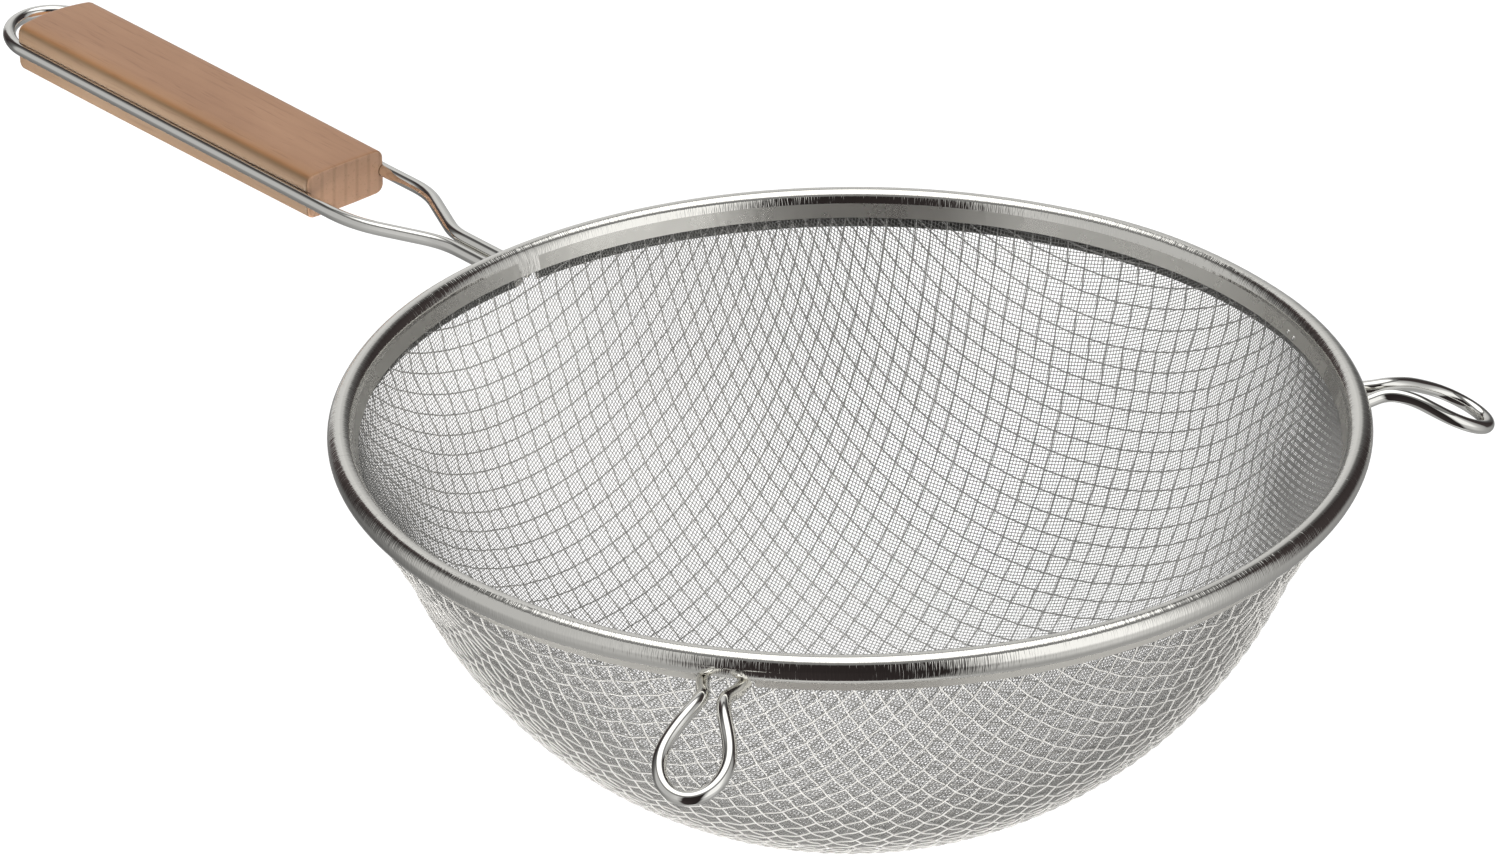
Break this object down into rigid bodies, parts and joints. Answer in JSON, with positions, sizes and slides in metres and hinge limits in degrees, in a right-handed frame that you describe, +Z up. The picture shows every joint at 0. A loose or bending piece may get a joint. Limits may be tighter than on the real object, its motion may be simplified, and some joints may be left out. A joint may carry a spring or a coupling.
{
  "type": "double sieve strainer",
  "caption": "Round bowl strainer with a fine and a coarse steel mesh in one rolled rim, hooks that rest on a pail, and a long wire handle with a flat wooden grip.",
  "frame": {"origin": "on the bowl's axis, in the plane of the pail's mouth that the hooks and the handle's legs rest on, 6.25 mm below the middle of the rolled rim", "axes": "+Z up along the bowl's axis, out of its mouth; -X along the handle; the hooks lie to +X, one on each side of the XZ plane"},
  "size_m": [0.4891, 0.2856, 0.1154],
  "materials": {
    "rim_steel": "bright, with small crimp wrinkles",
    "core_steel": "plain",
    "fine_mesh_steel": "woven wire",
    "coarse_mesh_steel": "woven wire",
    "wire_steel": "bright",
    "beech": "satin varnish"
  },
  "bodies": {
    "root": {"rim_band": "rim_steel", "rim_core_wire": "core_steel", "fine_inner_mesh": "fine_mesh_steel", "coarse_outer_mesh": "coarse_mesh_steel", "hook_near": "wire_steel", "hook_far": "wire_steel", "handle_wire": "wire_steel", "wood_grip": "beech"}
  },
  "joints": []
}
